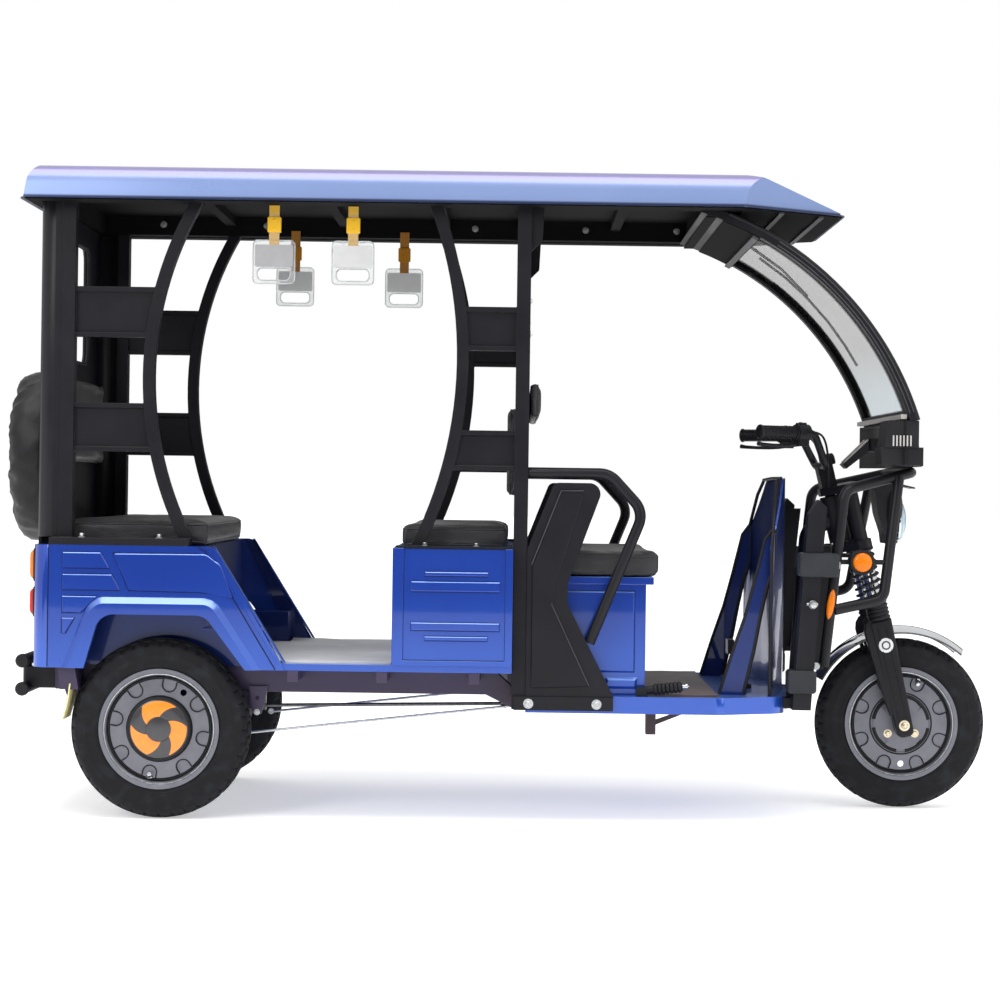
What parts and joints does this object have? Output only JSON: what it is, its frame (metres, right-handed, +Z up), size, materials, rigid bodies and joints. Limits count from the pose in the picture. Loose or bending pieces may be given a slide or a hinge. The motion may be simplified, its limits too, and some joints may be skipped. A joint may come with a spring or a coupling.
{
  "type": "auto rickshaw",
  "caption": "Electric passenger three-wheeler with a pressed-steel body, facing bench seats, a flat roof on curved posts, a curved windscreen and a steered front fork.",
  "frame": {"origin": "on the ground, midway along and across the vehicle's bounding box", "axes": "+X forward, +Y to the vehicle's left, +Z up"},
  "size_m": [2.8059, 1.042, 1.7888],
  "materials": {
    "body_blue": "metallic gloss",
    "frame_black": "satin",
    "chassis_paint": "satin",
    "tyre": "matte",
    "rim_grey": "semi gloss",
    "chrome": "polished",
    "black_plastic": "matte",
    "amber": "gloss",
    "red_lens": "gloss",
    "clear_glass": "clear",
    "leatherette": "soft grain",
    "floor_rubber": "matte",
    "cover": "wrinkled",
    "clear_plastic": "clear",
    "steel": "brushed",
    "pale_rubber": "matte"
  },
  "bodies": {
    "chassis": {"amber_lamps": "amber", "back_board": "frame_black", "back_pads": "leatherette", "body_sides": "body_blue", "brake_controls": "frame_black", "brake_rods": "steel", "chassis_frame": "chassis_paint", "driver_cushion": "leatherette", "driver_floor": "body_blue", "driver_seat_box": "body_blue", "floor_mats": "floor_rubber", "front_cowl": "black_plastic", "front_guard": "frame_black", "hand_grips": "clear_plastic", "headlamp": "black_plastic", "leaf_springs": "frame_black", "leg_shield": "body_blue", "mid_cushion": "leatherette", "mid_frames": "frame_black", "mid_seat_box": "body_blue", "mud_flaps": "pale_rubber", "passenger_floor": "body_blue", "rear_axle": "frame_black", "rear_backrest": "leatherette", "rear_bumper": "frame_black", "rear_cushion": "leatherette", "rear_frames": "frame_black", "rear_tub": "body_blue", "rear_wall": "frame_black", "red_lamps": "red_lens", "roof_frame": "frame_black", "roof_shell": "body_blue", "side_guards": "frame_black", "spare_wheel": "cover", "steering_head": "frame_black", "windscreen_frame": "frame_black", "windscreen_glass": "clear_glass"},
    "steering": {"fork": "frame_black", "fork_springs": "chrome", "front_fender": "chrome", "handlebar": "frame_black", "bar_grips": "black_plastic"},
    "front_wheel": {"front_tyre": "tyre", "front_rim": "rim_grey"},
    "rear_wheel_left": {"rear_tyre_left": "tyre", "rear_rim_left": "rim_grey"},
    "rear_wheel_right": {"rear_tyre_right": "tyre", "rear_rim_right": "rim_grey"}
  },
  "joints": [
    {"name": "steering_turn", "type": "hinge", "parent": "chassis", "child": "steering", "pos_m": [0.96626, 0, 0.83341], "axis": [-0.2351, 0, 0.972], "range_deg": [-40, 40]},
    {"name": "front_wheel_spin", "type": "hinge", "parent": "steering", "child": "front_wheel", "pos_m": [1.158, 0, 0.245], "axis": [0, 1, 0], "continuous": true},
    {"name": "rear_left_spin", "type": "hinge", "parent": "chassis", "child": "rear_wheel_left", "pos_m": [-0.922, 0.42, 0.245], "axis": [0, 1, 0], "continuous": true},
    {"name": "rear_right_spin", "type": "hinge", "parent": "chassis", "child": "rear_wheel_right", "pos_m": [-0.922, -0.42, 0.245], "axis": [0, 1, 0], "continuous": true}
  ]
}
